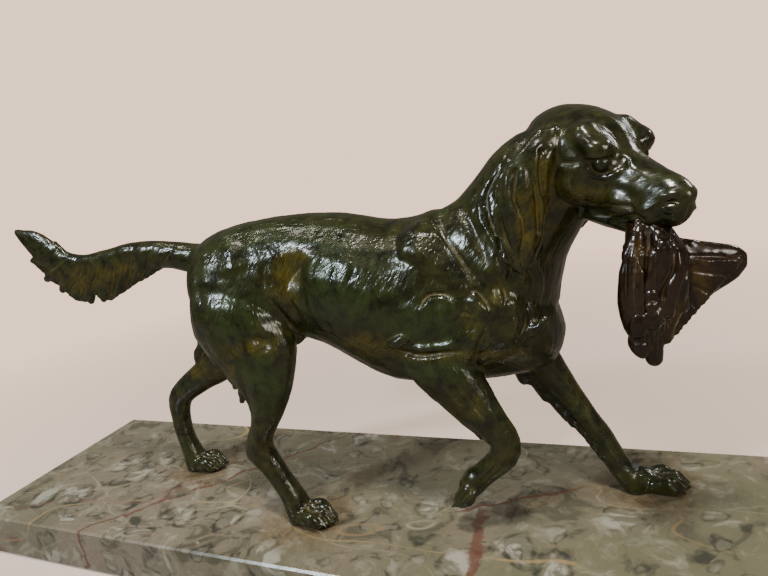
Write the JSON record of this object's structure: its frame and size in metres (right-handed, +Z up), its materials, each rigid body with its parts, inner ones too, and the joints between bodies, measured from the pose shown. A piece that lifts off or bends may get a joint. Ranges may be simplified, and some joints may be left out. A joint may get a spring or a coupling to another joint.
{
  "type": "bronze animal statuette",
  "caption": "Bronze walking gun dog with a game bird in its mouth, fixed by studs through three paws to a long rectangular marble plinth with a felt underside.",
  "frame": {"origin": "centre of the bounding box of the underside, on the surface that the felt rests on", "axes": "+X along the plinth towards the dog's head, +Y across the plinth to the dog's left, +Z up"},
  "size_m": [0.6, 0.15, 0.2457],
  "materials": {
    "marble": "semi-gloss polished grey-taupe breccia marble with cream clasts and rust veins",
    "felt": "dark green wool felt",
    "bronze_green": "cast bronze, waxed dark green-brown patina, ochre in the recesses",
    "bronze_plum": "cast bronze, waxed red-brown patina",
    "raw_bronze": "turned bronze, unpatinated",
    "steel": "zinc-plated steel"
  },
  "bodies": {
    "root": {"marble_base": "marble", "felt_sheet": "felt", "body_casting": "bronze_green", "head_casting": "bronze_green", "tail_casting": "bronze_green", "foreleg_near": "bronze_green", "foreleg_far": "bronze_green", "hindleg_near": "bronze_green", "hindleg_far": "bronze_green", "bird_body": "bronze_plum", "bird_wing_spread": "bronze_plum", "bird_wing_folded": "bronze_plum", "neck_sleeve": "raw_bronze", "neck_pins": "raw_bronze", "tail_dowel": "raw_bronze", "leg_dowels": "raw_bronze", "wing_pins": "raw_bronze", "beak_pin": "raw_bronze", "core_plugs": "raw_bronze", "paw_studs": "steel", "stud_washers": "steel", "stud_nuts": "steel"}
  },
  "joints": []
}
